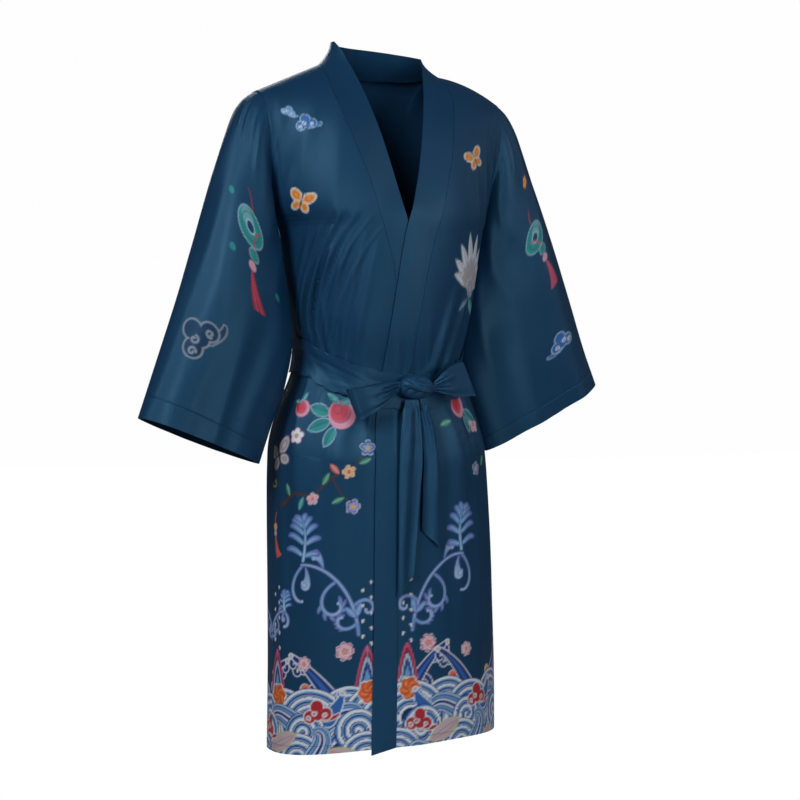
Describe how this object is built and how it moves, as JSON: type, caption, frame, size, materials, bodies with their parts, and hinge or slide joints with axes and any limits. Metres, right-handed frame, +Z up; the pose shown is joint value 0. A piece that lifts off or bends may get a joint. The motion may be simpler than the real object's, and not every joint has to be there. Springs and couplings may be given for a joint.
{
  "type": "kimono robe",
  "caption": "Short open satin kimono robe with wide straight sleeves and a plain neckband, crossed left over right and closed by its own belt tied in a bow.",
  "frame": {"origin": "midway between the two points where shoulder seam and neckband meet, where the wearer's shoulders hold the robe", "axes": "+Z up, -Y to the front, +X to the wearer's left"},
  "size_m": [0.781, 0.2426, 1.045],
  "materials": {
    "printed_satin": "printed satin, soft sheen",
    "plain_satin": "plain satin, soft sheen"
  },
  "bodies": {
    "root": {"back": "printed_satin", "front_under": "printed_satin", "front_over": "printed_satin", "sleeve_right": "printed_satin", "sleeve_left": "printed_satin", "neckband_under": "plain_satin", "neckband_over": "plain_satin", "belt_waist": "plain_satin", "belt_knot": "plain_satin", "bow_loop_right": "plain_satin", "bow_loop_left": "plain_satin", "belt_tail_long": "plain_satin", "belt_tail_short": "plain_satin"}
  },
  "joints": []
}
